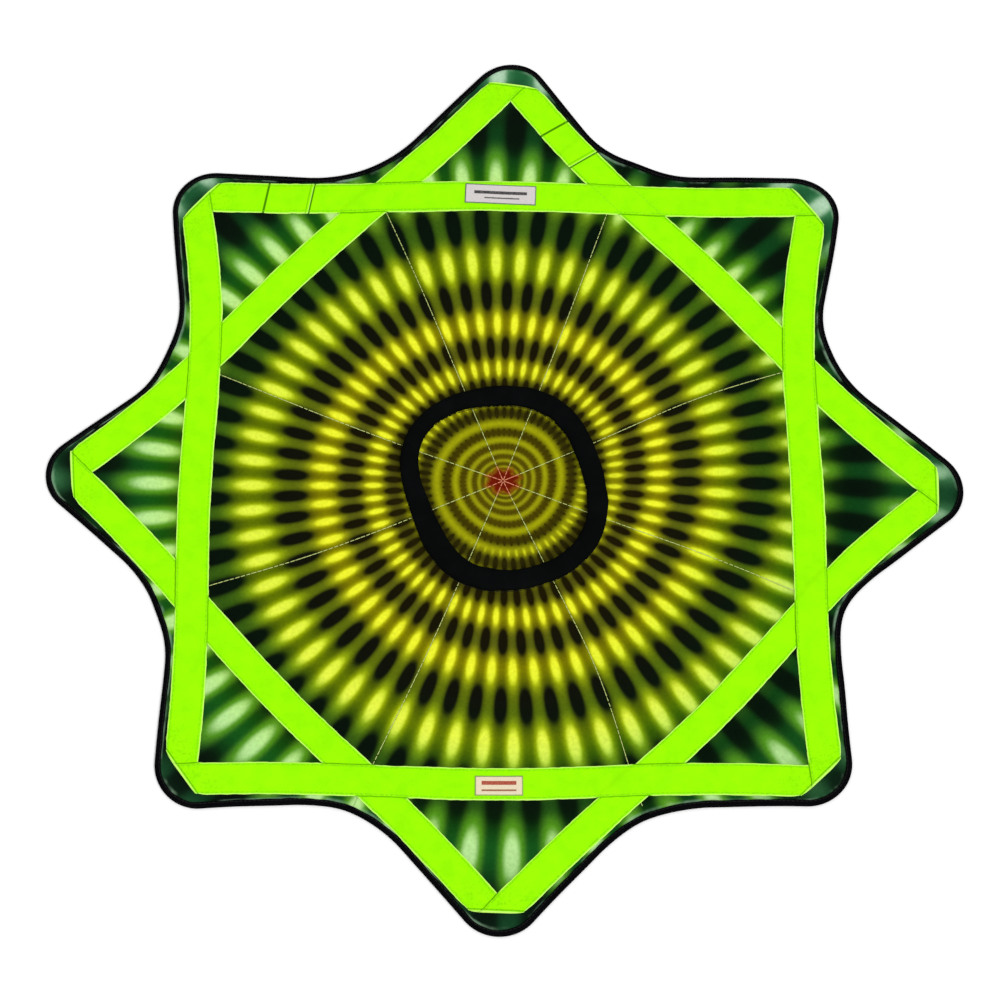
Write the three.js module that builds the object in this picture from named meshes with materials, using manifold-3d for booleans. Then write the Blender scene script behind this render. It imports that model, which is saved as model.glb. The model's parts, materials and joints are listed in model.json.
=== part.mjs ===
// Eight-pointed spinning cloth: a lined, printed star with two squares of bright tape, a black edge
// binding and a soft ring at its centre. Millimetres, +Z up, the cloth lies flat with its face up.
// Each point of the star folds on a line that joins its two notches.
import * as THREE from "three";
import { mergeVertices } from "three/addons/utils/BufferGeometryUtils.js";
import Module from "manifold-3d";

// Outline of the star
const pointCount = 8;
const tipReach = 300; // centre to the end of a point
const tipRound = 28; // radius of a point's rounded end
const notchReach = 241; // centre to the bottom of a notch
const edgeSlope = THREE.MathUtils.degToRad(41); // between a point's straight edge and its middle line
const tipSteps = 5; // flat steps in half of a rounded end
const notchSteps = 4; // flat steps in half of a notch

// Fold lines
const foldGap = 6; // bare stretch across each fold, between the centre's pieces and the point's

// Tapes, binding, ring, labels and stitching
const tapeWidth = 20;
const tapeLine = 200.5; // centre to the middle line of each side of a tape square
const bindingWidth = 3.8;
const bindingWall = 0.5;
const ringMiddle = 63.2; // centre to the middle of the ring's band
const ringWidth = 14.5;
const ringHeight = 6.6;
const ringWall = 1.2;
const ringShoulder = 3; // radius of the ring's two upper edges
const ringSteps = 40;
const shoulderSteps = 3;
const longLabel = { width: 48, height: 14.4 };
const shortLabel = { width: 30, height: 12.6 };
const threadWidth = 0.8;
const threadStart = 3; // centre to the first stitch of a radial line
const threadEnd = 236; // centre to its last stitch, at the notch

// Layers, from the underside up, with a small gap between pieces that touch
const gap = 0.3;
const cloth = 0.4;
const tape = 0.5;
const thread = 0.2;
const leaf = 0.4;
const backingBase = leaf + gap;
const faceBase = backingBase + cloth + gap;
const faceTop = faceBase + cloth;
const threadBase = faceTop + gap;
const tapeBase = threadBase + thread + gap;
const tapeRise = tape + gap; // the upper tape's step over the lower one
const stepLength = 8; // along the upper tape

// Places worked out from the sizes above
const step = (2 * Math.PI) / pointCount;
const edgeNormal = Math.PI / 2 - edgeSlope;
const tipCentre = tipReach - tipRound;
const notchCos = Math.cos(edgeNormal - step / 2);
const edgeOffset = tipCentre * Math.cos(edgeNormal) + tipRound;
const notchRound = (notchReach * notchCos - edgeOffset) / (1 - notchCos);
const notchCentre = new THREE.Vector2(
  (notchReach + notchRound) * Math.cos(step / 2),
  (notchReach + notchRound) * Math.sin(step / 2),
);
const foldLine = notchReach * Math.cos(step / 2);
const centreReach = foldLine - foldGap / 2; // where the centre's pieces end
const pointStart = foldLine + foldGap / 2; // where a point's pieces begin
const tapeInner = tapeLine - tapeWidth / 2;
const tapeOuter = tapeLine + tapeWidth / 2;

const materials = {
  face: new THREE.MeshStandardMaterial({ color: 0x57660d, roughness: 0.75 }),
  backing: new THREE.MeshStandardMaterial({ color: 0x0c0d0e, roughness: 0.85 }),
  tape: new THREE.MeshStandardMaterial({ color: 0x9bff00, roughness: 0.6 }),
  binding: new THREE.MeshStandardMaterial({ color: 0x0a0a0a, roughness: 0.8 }),
  ring: new THREE.MeshStandardMaterial({ color: 0x0b0b0b, roughness: 0.7 }),
  core: new THREE.MeshStandardMaterial({ color: 0x2a2a2c, roughness: 0.9 }),
  label: new THREE.MeshStandardMaterial({ color: 0xd9d6c8, roughness: 0.7 }),
  thread: new THREE.MeshStandardMaterial({ color: 0xb9b98a, roughness: 0.6 }),
};

const wasm = await Module();
wasm.setup();

function toSolid(geometry) {
  const bare = geometry.clone();
  bare.deleteAttribute("normal");
  bare.deleteAttribute("uv");
  const merged = mergeVertices(bare, 1e-4);
  const vertProperties = merged.getAttribute("position").array;
  const triVerts = new Uint32Array(merged.index.array);
  return new wasm.Manifold(new wasm.Mesh({ numProp: 3, vertProperties, triVerts }));
}

function toGeometry(solid) {
  const { vertProperties, triVerts } = solid.getMesh();
  const geometry = new THREE.BufferGeometry();
  geometry.setAttribute("position", new THREE.BufferAttribute(vertProperties, 3));
  geometry.setIndex(new THREE.BufferAttribute(triVerts, 1));
  geometry.computeVertexNormals();
  return geometry;
}

// A flat sheet with the given outline, from one height to another.
function sheet(outline, base, height) {
  const shape = new THREE.Shape(outline);
  const geometry = new THREE.ExtrudeGeometry(shape, { depth: height, bevelEnabled: false });
  return geometry.translate(0, 0, base);
}

// The edge of the point that lies along +X, from one end of its fold to the other. The inset moves the
// edge inwards.
function pointEdge(inset) {
  const half = [];
  const notchRadius = notchRound + inset;
  const first = Math.acos((notchCentre.x - pointStart) / notchRadius);
  for (let i = 0; i <= notchSteps; i++) {
    const turn = THREE.MathUtils.lerp(first, edgeNormal, i / notchSteps);
    const spoke = new THREE.Vector2(notchRadius, 0).rotateAround(new THREE.Vector2(), turn);
    half.push(notchCentre.clone().sub(spoke));
  }
  for (let i = 0; i <= tipSteps; i++) {
    const turn = edgeNormal * (1 - i / tipSteps);
    const spoke = new THREE.Vector2(tipRound - inset, 0).rotateAround(new THREE.Vector2(), turn);
    half.push(new THREE.Vector2(tipCentre, 0).add(spoke));
  }
  const mirrored = half.map((p) => new THREE.Vector2(p.x, -p.y));
  return [...mirrored, ...half.slice(0, -1).reverse()];
}

function centreSheet(base) {
  const corner = centreReach / Math.cos(step / 2);
  const outline = [];
  for (let i = 0; i < pointCount; i++) {
    outline.push(new THREE.Vector2(corner, 0).rotateAround(new THREE.Vector2(), (i + 0.5) * step));
  }
  return sheet(outline, base, cloth);
}

function pointSheet(base) {
  return sheet(pointEdge(bindingWall + gap), base, cloth);
}

// The binding is a strip folded over the edge: a leaf above, a leaf below and a wall between them.
function bindingStrip() {
  const outer = pointEdge(0);
  const total = 2 * leaf + 2 * cloth + 3 * gap;
  const band = (width, base, height) => {
    return toSolid(sheet([...outer, ...pointEdge(width).reverse()], base, height));
  };
  const wall = band(bindingWall, 0, total);
  const under = band(bindingWidth, 0, leaf);
  const over = band(bindingWidth, total - leaf, leaf);
  return toGeometry(wall.add(under).add(over));
}

// A tape square's corner beyond the fold: two legs and the straight edge of the tape's own fold.
function tapeCorner() {
  const corner = tapeLine * Math.SQRT2;
  const half = (tapeWidth / 2) * Math.SQRT2;
  const outline = [
    new THREE.Vector2(pointStart, pointStart - corner - half),
    new THREE.Vector2(corner, -half),
    new THREE.Vector2(corner, half),
    new THREE.Vector2(pointStart, corner + half - pointStart),
    new THREE.Vector2(pointStart, corner - half - pointStart),
    new THREE.Vector2(corner - half, 0),
    new THREE.Vector2(pointStart, pointStart - corner + half),
  ];
  return sheet(outline, tapeBase, tape);
}

// A tape square's side between two folds, seen with the middle of the side on +X.
function tapeSideOutline() {
  const ends = (x) => centreReach * Math.SQRT2 - x;
  return [
    new THREE.Vector2(tapeInner, -ends(tapeInner)),
    new THREE.Vector2(tapeOuter, -ends(tapeOuter)),
    new THREE.Vector2(tapeOuter, ends(tapeOuter)),
    new THREE.Vector2(tapeInner, ends(tapeInner)),
  ];
}

function lowerTapeSide() {
  return sheet(tapeSideOutline(), tapeBase, tape);
}

// The upper tape lies on the cloth at its middle and steps over the lower tape at both ends.
function upperTapeSide() {
  const stepEnd = tapeInner * Math.SQRT2 - tapeOuter - gap;
  const stepStart = stepEnd - stepLength;
  const end = centreReach;
  const profile = [
    [-end, tapeRise],
    [-stepEnd, tapeRise],
    [-stepStart, 0],
    [stepStart, 0],
    [stepEnd, tapeRise],
    [end, tapeRise],
  ].map(([along, rise]) => new THREE.Vector2(along, tapeBase + rise));
  const above = profile.map((p) => new THREE.Vector2(p.x, p.y + tape)).reverse();
  const strip = new THREE.ExtrudeGeometry(new THREE.Shape([...profile, ...above]), {
    depth: 2 * tapeWidth,
    bevelEnabled: false,
  });
  const alongY = new THREE.Vector3(0, 1, 0);
  const alongZ = new THREE.Vector3(0, 0, 1);
  const alongX = new THREE.Vector3(1, 0, 0);
  strip.applyMatrix4(new THREE.Matrix4().makeBasis(alongY, alongZ, alongX));
  strip.translate(tapeLine - tapeWidth, 0, 0);
  const plan = sheet(tapeSideOutline(), 0, tapeBase + tapeRise + 2 * tape);
  return toGeometry(toSolid(strip).intersect(toSolid(plan)));
}

// Half of a band's section: straight side, rounded shoulder, flat top.
function shoulder(halfWidth, height, radius) {
  const points = [new THREE.Vector2(halfWidth, 0)];
  for (let i = 0; i <= shoulderSteps; i++) {
    const turn = (Math.PI / 2) * (i / shoulderSteps);
    const x = halfWidth - radius + radius * Math.cos(turn);
    points.push(new THREE.Vector2(x, height - radius + radius * Math.sin(turn)));
  }
  return points;
}

function arch(halfWidth, height, radius) {
  const right = shoulder(halfWidth, height, radius);
  const left = right.map((p) => new THREE.Vector2(-p.x, p.y)).reverse();
  return [...right, ...left];
}

function ringSolid(section, base) {
  const placed = section.map((p) => new THREE.Vector2(p.x + ringMiddle, p.y));
  const lathe = new THREE.LatheGeometry([...placed, placed[0].clone()], ringSteps);
  return lathe.rotateX(Math.PI / 2).translate(0, 0, base);
}

// The cover is a fabric sleeve, open where it is sewn down to the cloth.
function ringCover() {
  const outer = arch(ringWidth / 2, ringHeight, ringShoulder);
  const inner = arch(ringWidth / 2 - ringWall, ringHeight - ringWall, ringShoulder - ringWall);
  return ringSolid([...outer, ...inner.reverse()], tapeBase);
}

function ringCore() {
  const side = ringWall + gap;
  return ringSolid(arch(ringWidth / 2 - side, ringHeight - side, ringShoulder - side), tapeBase);
}

// A woven label lies on the upper tape, with its long side along the tape.
function wovenLabel(size) {
  const label = new THREE.BoxGeometry(size.height, size.width, leaf);
  return label.translate(tapeLine, 0, tapeBase + tape + gap + leaf / 2);
}

function stitchLine() {
  const length = threadEnd - threadStart;
  const line = new THREE.BoxGeometry(length, threadWidth, thread);
  return line.translate(threadStart + length / 2, 0, threadBase + thread / 2);
}

const spinningCloth = new THREE.Group();

// Adds a piece that was drawn along +X, turned by a number of star points.
function addPiece(name, geometry, material, turns = 0) {
  const mesh = new THREE.Mesh(geometry, material);
  mesh.name = name;
  mesh.rotation.z = turns * step;
  spinningCloth.add(mesh);
}

addPiece("backing_centre", centreSheet(backingBase), materials.backing);
addPiece("face_centre", centreSheet(faceBase), materials.face);
for (let i = 0; i < pointCount; i++) {
  addPiece(`backing_point_${i + 1}`, pointSheet(backingBase), materials.backing, i);
  addPiece(`face_point_${i + 1}`, pointSheet(faceBase), materials.face, i);
  addPiece(`edge_binding_${i + 1}`, bindingStrip(), materials.binding, i);
  addPiece(`stitch_line_${i + 1}`, stitchLine(), materials.thread, i + 0.5);
}
for (let i = 0; i < pointCount / 2; i++) {
  addPiece(`lower_tape_corner_${i + 1}`, tapeCorner(), materials.tape, 2 * i);
  addPiece(`lower_tape_side_${i + 1}`, lowerTapeSide(), materials.tape, 2 * i + 1);
  addPiece(`upper_tape_corner_${i + 1}`, tapeCorner(), materials.tape, 2 * i + 1);
  addPiece(`upper_tape_side_${i + 1}`, upperTapeSide(), materials.tape, 2 * i);
}
addPiece("ring_cover", ringCover(), materials.ring);
addPiece("ring_core", ringCore(), materials.core);
addPiece("long_label", wovenLabel(longLabel), materials.label, 2);
addPiece("short_label", wovenLabel(shortLabel), materials.label, 6);

export default spinningCloth;
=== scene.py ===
"""An eight-pointed spinning cloth, lying flat: printed face, lining, edge binding, two squares of bright
tape, a padded ring and two labels. Shapes are worked out in millimetres and made in metres."""
import json
import math

import bmesh
import bpy
import numpy as np
from mathutils import Matrix, Vector


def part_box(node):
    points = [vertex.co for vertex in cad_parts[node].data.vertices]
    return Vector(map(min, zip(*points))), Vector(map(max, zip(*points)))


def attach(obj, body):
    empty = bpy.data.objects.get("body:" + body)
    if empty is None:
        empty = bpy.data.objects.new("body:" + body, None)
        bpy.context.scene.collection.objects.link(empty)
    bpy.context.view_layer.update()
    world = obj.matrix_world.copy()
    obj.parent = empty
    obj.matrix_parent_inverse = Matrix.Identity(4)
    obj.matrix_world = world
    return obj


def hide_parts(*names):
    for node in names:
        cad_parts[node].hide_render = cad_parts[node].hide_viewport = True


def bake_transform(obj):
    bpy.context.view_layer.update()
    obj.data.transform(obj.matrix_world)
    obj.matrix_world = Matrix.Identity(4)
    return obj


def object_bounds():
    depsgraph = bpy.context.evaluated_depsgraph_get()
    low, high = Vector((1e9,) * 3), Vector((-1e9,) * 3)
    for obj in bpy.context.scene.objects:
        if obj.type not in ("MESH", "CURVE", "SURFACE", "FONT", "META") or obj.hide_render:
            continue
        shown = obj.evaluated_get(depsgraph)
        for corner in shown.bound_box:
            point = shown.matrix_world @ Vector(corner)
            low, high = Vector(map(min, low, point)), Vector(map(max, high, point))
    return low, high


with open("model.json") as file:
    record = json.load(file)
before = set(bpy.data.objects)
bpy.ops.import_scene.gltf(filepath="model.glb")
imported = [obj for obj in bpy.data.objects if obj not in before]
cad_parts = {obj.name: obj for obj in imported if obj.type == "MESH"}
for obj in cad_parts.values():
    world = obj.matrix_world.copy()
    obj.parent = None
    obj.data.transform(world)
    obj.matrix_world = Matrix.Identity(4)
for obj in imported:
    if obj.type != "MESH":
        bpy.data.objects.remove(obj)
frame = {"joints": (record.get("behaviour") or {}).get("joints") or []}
cad_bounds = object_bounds()

MM = 0.001
POINTS = range(1, 9)
STEP = 45  # degrees from one point to the next

# ---------------------------------------------------------------- sizes, from the frame


def box(node):
    """A CAD node's lowest and highest corners, in millimetres."""
    low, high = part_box(node)
    return np.array(low) / MM, np.array(high) / MM


REACH = cad_bounds[1].x / MM  # centre to the end of a point
RING_BOX = box("ring_cover")
SIDE_BOX = box("upper_tape_side_1")
TAPE_WIDTH = SIDE_BOX[1][0] - SIDE_BOX[0][0]
HALF_TAPE = TAPE_WIDTH / 2 + 0.6  # the woven edges spread a little
NO_CUT, UNDER_CUT = 15.0, 30.0  # marks for tape with no cut end near it, and for tape under a cut end
LONG_LABEL = box("long_label")
SHORT_LABEL = box("short_label")

# ---------------------------------------------------------------- the star's outline
TIP_ROUND = 28  # radius of a point's rounded end
NOTCH_REACH = 241  # centre to the bottom of a notch
EDGE_NORMAL = math.radians(49)  # of a point's straight edge, off the point's middle line
TIP_CENTRE = REACH - TIP_ROUND
HALF_STEP = math.radians(STEP / 2)
NOTCH_COS = math.cos(EDGE_NORMAL - HALF_STEP)
EDGE_OFFSET = TIP_CENTRE * math.cos(EDGE_NORMAL) + TIP_ROUND
NOTCH_ROUND = (NOTCH_REACH * NOTCH_COS - EDGE_OFFSET) / (1 - NOTCH_COS)

# ---------------------------------------------------------------- how the cloth lies
# Most of the lists below were measured on the photo with scratch programs, then rounded and adjusted.
# The tips and notches lie a little off the regular star: (outwards in mm, turned in degrees), from the
# point along +X, tip and notch by turns, counter-clockwise.
LIE = (
    (0, -1.5), (-5.5, -1), (2, -1.5), (4, 2.5), (3, -1), (-0.5, 0.5), (0, 1), (-3, 2),
    (-3.5, 0.4), (-1, -0.5), (-1.5, 1.1), (2, 0), (1, 0), (4, -0.5), (-2, 0.5), (-3.5, 0),
)
# How far the edge bows out between each tip and notch, in mm, in the same order.
FLANK_BOW = (-0.4, -2.6, -4.4, 0.8, -0.5, 0, -2.5, -1.4, 1.1, -2.8, 2.8, 0.4, 2.3, 1, 3.4, 2.8)
# The stitched radial lines are turned this much nearer the centre, in degrees.
SEAM_TURN = (2.2, 2.3, -0.3, 2.5, 1.4, 0.8, 3.1, 1.4)
CENTRE = (0.5, -4.0)  # where the radial lines meet
# The corners of the tape squares, off their places on a regular pair of squares, from +X.
TAPE_CORNER = (
    (3.2, -7.4), (8.9, 0), (4.4, 7.5), (-9.1, -1.3), (1.4, -0.1), (0.2, -4.1), (-1.6, -6.3), (4.4, -1.9),
)
# How far outwards each tape's side bows a quarter, half and three quarters of the way along it, in mm,
# counter-clockwise from the same corners.
SIDE_BOW = (
    (-7, -4.5, -6.7), (-1.3, 1.8, -0.7), (-2.2, -0.7, -5.9), (-10.1, -5.7, -5.5),
    (-0.1, 3.1, -0.9), (-0.3, 2.3, -1.2), (-0.4, 1, -5.3), (-7.7, -9.3, -12.5),
)
# How much wider or narrower each side's tape lies than the rest.
SIDE_SPREAD = (1.035, 1.05, 1.02, 1.02, 0.985, 0.965, 0.965, 1.025)
# The corners' folds: how far in from the corner, in mm, and how far turned, in degrees.
CORNER_FOLD = ((3.4, 0), (4.9, -2.7), (4.0, -5.3), (5.1, -1), (2.2, 8), (3.3, -7.5), (3.7, -1), (4.7, -3))

# ---------------------------------------------------------------- heights of the layers
CLOTH = 0.3
LINING_TOP = 0.65
FACE_TOP = 1.35
TAPE_TOP = 1.95
TAPE = 0.42
TAPE_RISE = 0.5
LABEL = 0.3
BINDING_TOP = 2.3
PUFF = 0.9  # how far the cloth stands off the floor in its soft bumps


def smooth(low, high, value):
    """0 below low, 1 above high, and a smooth step between."""
    t = np.clip((np.asarray(value, float) - low) / (high - low), 0, 1)
    return t * t * (3 - 2 * t)


def noise(x, y, size, seed):
    """Soft bumps from 0 to 1, about size apart."""
    table = np.random.default_rng(seed).random((64, 64))
    u, v = np.asarray(x) / size + 32, np.asarray(y) / size + 32
    i, j = np.floor(u).astype(int), np.floor(v).astype(int)
    s, t = smooth(0, 1, u - i), smooth(0, 1, v - j)

    def at(a, b):
        return table[(i + a) % 64, (j + b) % 64]

    low = at(0, 0) * (1 - s) + at(1, 0) * s
    high = at(0, 1) * (1 - s) + at(1, 1) * s
    return low * (1 - t) + high * t


def around(values, turn):
    """A smooth closed curve through evenly spaced values, at an angle in degrees."""
    values = np.asarray(values, float)
    at = (np.asarray(turn, float) % 360) / 360 * len(values)
    i = np.floor(at).astype(int) % len(values)
    share = smooth(0, 1, at - np.floor(at))
    return values[i] * (1 - share) + values[(i + 1) % len(values)] * share


def half_edge(inset):
    """The regular outline from the middle of the tip at +X to the notch, moved in by inset."""
    tip = [np.array((TIP_CENTRE, 0))
           + (TIP_ROUND - inset) * np.array((math.cos(a), math.sin(a)))
           for a in np.linspace(0, EDGE_NORMAL, 14)]
    middle = (NOTCH_REACH + NOTCH_ROUND) * np.array((math.cos(HALF_STEP), math.sin(HALF_STEP)))
    notch = [middle - (NOTCH_ROUND + inset) * np.array((math.cos(a), math.sin(a)))
             for a in np.linspace(EDGE_NORMAL, HALF_STEP, 14)]
    flank = [tip[-1] + (notch[0] - tip[-1]) * t for t in np.linspace(0, 1, 20)[1:-1]]
    return np.array(tip + flank + notch)


def edge_radius(turn, inset=0.0):
    """Centre to the outline of the regular star, at an angle in degrees."""
    line = half_edge(inset)
    angle = np.degrees(np.arctan2(line[:, 1], line[:, 0]))
    off = np.abs((np.asarray(turn, float) + STEP / 2) % STEP - STEP / 2)
    return np.interp(off, angle, np.hypot(line[:, 0], line[:, 1]))


def flank_bow(turn):
    """How far the edge stands out beside the straight line from tip to notch, at an angle in degrees."""
    at = (np.asarray(turn, float) % 360) / (STEP / 2)
    flank = np.floor(at).astype(int) % 16
    from_tip = np.where(flank % 2, np.floor(at) + 1 - at, at - np.floor(at))
    return np.array(FLANK_BOW)[flank] * np.sin(math.pi * from_tip ** 1.45) ** 2


def lay(radius, turn):
    """Where a place on the regular star lies: radius in mm and turn in degrees, to x and y."""
    share = radius / edge_radius(turn)
    out = around([o for o, _ in LIE], turn) + flank_bow(turn) * share ** 4
    rim = around([t for _, t in LIE], turn)
    near = around(np.ravel([((a + b) / 2, b) for a, b in zip(np.roll(SEAM_TURN, 1), SEAM_TURN)]), turn)
    far = smooth(0.45, 1, share)
    angle = np.radians(turn + near * (1 - far) + rim * far)
    reach = radius + out * share ** 2
    home = 1 - smooth(0.2, 1, share)
    return (reach * np.cos(angle) + CENTRE[0] * home, reach * np.sin(angle) + CENTRE[1] * home)


def seam_points(k):
    """The radial line after point k, from the centre to the notch, as it lies."""
    turn = (k - 0.5) * STEP
    radius = np.linspace(0, edge_radius(turn), 60)
    return np.stack(lay(radius, np.full(60, turn)), 1)


SEAMS = [seam_points(k) for k in POINTS]
NOTCHES = [seam[-1] for seam in SEAMS]


def off_line(x, y, line):
    """The distance of places from a line of points, and how far along the line they are."""
    best = np.full(np.shape(x), 1e9)
    along = np.zeros(np.shape(x))
    done = 0.0
    for a, b in zip(line[:-1], line[1:]):
        d = b - a
        size = math.hypot(*d)
        t = np.clip(((x - a[0]) * d[0] + (y - a[1]) * d[1]) / size**2, 0, 1)
        far = np.hypot(x - a[0] - t * d[0], y - a[1] - t * d[1])
        along = np.where(far < best, done + t * size, along)
        best = np.minimum(best, far)
        done += size
    return best, along


def relief(x, y):
    """How far the cloth stands up at a place, apart from its seams."""
    soft = 0.65 * noise(x, y, 70, 3) + 0.35 * noise(x, y, 27, 4)
    reach = np.hypot(x, y)
    turn = np.degrees(np.arctan2(y, x))
    inside = 1 - smooth(0.9, 0.99, reach / edge_radius(turn))
    return PUFF * (soft * inside + 0.15 * noise(x, y, 14, 5))


def seam_relief(x, y):
    """The groove along the radial lines, and the small puckers beside them."""
    nearest = np.full(np.shape(x), 1e9)
    pucker = np.zeros(np.shape(x))
    for k, line in enumerate(SEAMS, 1):
        far, along = off_line(x, y, line[::4])
        nearest = np.minimum(nearest, far)
        beat = np.sin(along * 2 * math.pi / 6.5 + 3 * noise(x, y, 20, 10 + k))
        pucker += 0.16 * beat * np.exp(-far / 5) * smooth(12, 40, along)
    home = np.hypot(x - CENTRE[0], y - CENTRE[1])
    return pucker - 0.4 * np.exp(-((nearest / 1.5) ** 2)) * smooth(1, 12, home)


# ---------------------------------------------------------------- making meshes
def make(name, places, faces, material, solid=False, **attributes):
    """A mesh object from places in millimetres. The attributes are coordinates for its material."""
    mesh = bpy.data.meshes.new(name)
    places = np.asarray(places, float).reshape(-1, 3)
    mesh.from_pydata((places * MM).tolist(), [], faces)
    attributes.setdefault("lie", places)
    for label, values in attributes.items():
        attribute = mesh.attributes.new(label, "FLOAT_VECTOR", "POINT")
        attribute.data.foreach_set("vector", np.asarray(values, np.float32).ravel())
    if solid:
        point_outwards(mesh)
    mesh.polygons.foreach_set("use_smooth", [True] * len(mesh.polygons))
    mesh.materials.append(material)
    mesh.update()
    thing = bpy.data.objects.new(name, mesh)
    bpy.context.scene.collection.objects.link(thing)
    return thing


def point_outwards(mesh):
    """Turns the faces of closed bodies so that they face out."""
    work = bmesh.new()
    work.from_mesh(mesh)
    bmesh.ops.recalc_face_normals(work, faces=work.faces)
    work.to_mesh(mesh)
    work.free()


def grid_faces(rows, columns, closed_rows=False, closed_columns=False, first=0):
    """Quads over a grid of points stored row by row."""
    faces = []
    for i in range(rows if closed_rows else rows - 1):
        for j in range(columns if closed_columns else columns - 1):
            a, b = i * columns, (i + 1) % rows * columns
            n = (j + 1) % columns
            faces.append((first + a + j, first + b + j, first + b + n, first + a + n))
    return faces


def thicken(thing, thickness):
    """Gives a sheet its thickness, below its upper face."""
    solid = thing.modifiers.new("thickness", "SOLIDIFY")
    solid.thickness = thickness * MM
    solid.offset = -1


BEND_BEFORE, BEND_PAST = 4, 14  # how far the bend reaches inside and past the line between two notches


def fold_line(k):
    """Where the cloth starts and ends its bend at point k's fold, as it lies."""
    a, b = NOTCHES[k - 2], NOTCHES[k - 1]
    across = (b - a) / math.hypot(*(b - a))
    out = np.array((across[1], -across[0]))
    middle = (a + b) / 2
    start, end = middle - BEND_BEFORE * out, middle + BEND_PAST * out
    height = frame["joints"][k - 1]["pos_m"][2]
    return (*(start * MM), height), (*(end * MM), height)


def bend(thing, k):
    """A piece that crosses point k's fold: its place is baked into its mesh. The fold's line is found but
    not used, and the piece is not bent.
    """
    start, end = fold_line(k)
    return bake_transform(thing)


# ---------------------------------------------------------------- materials
LIGHT = 1.25  # a surface of colour c shows as c times this, under the scene's light


def paint(red, green, blue):
    """The colour that shows as these 0 to 255 values under the scene's light."""
    def linear(value):
        value /= 255
        return value / 12.92 if value <= 0.04045 else ((value + 0.055) / 1.055) ** 2.4
    return (*(linear(v) / LIGHT for v in (red, green, blue)), 1)


def plug(tree, socket, value):
    """Sets a socket to a number, or links a wire to it."""
    if isinstance(value, Wire):
        tree.links.new(value.socket, socket)
    else:
        socket.default_value = value


class Wire:
    """A value in a material. Arithmetic on it adds Math nodes."""

    def __init__(self, tree, socket):
        self.tree = tree
        self.socket = socket

    def math(self, operation, *others):
        node = self.tree.nodes.new("ShaderNodeMath")
        node.operation = operation
        for socket, value in zip(node.inputs, (self, *others)):
            plug(self.tree, socket, value)
        return Wire(self.tree, node.outputs[0])

    def __add__(self, other):
        return self.math("ADD", other)

    def __radd__(self, other):
        return self.math("ADD", other)

    def __mul__(self, other):
        return self.math("MULTIPLY", other)

    def __rmul__(self, other):
        return self.math("MULTIPLY", other)

    def __sub__(self, other):
        return self.math("SUBTRACT", other)

    def __rsub__(self, other):
        return self.math("MULTIPLY", -1.0).math("ADD", other)

    def __truediv__(self, other):
        return self.math("DIVIDE", other)

    def cos(self):
        return self.math("COSINE")

    def sin(self):
        return self.math("SINE")

    def step(self, low, high, first=0.0, last=1.0):
        """first below low, last above high, and a smooth step between."""
        node = self.tree.nodes.new("ShaderNodeMapRange")
        node.interpolation_type = "SMOOTHSTEP"
        for socket, value in zip(node.inputs, (self, low, high, first, last)):
            plug(self.tree, socket, value)
        return Wire(self.tree, node.outputs[0])


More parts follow.
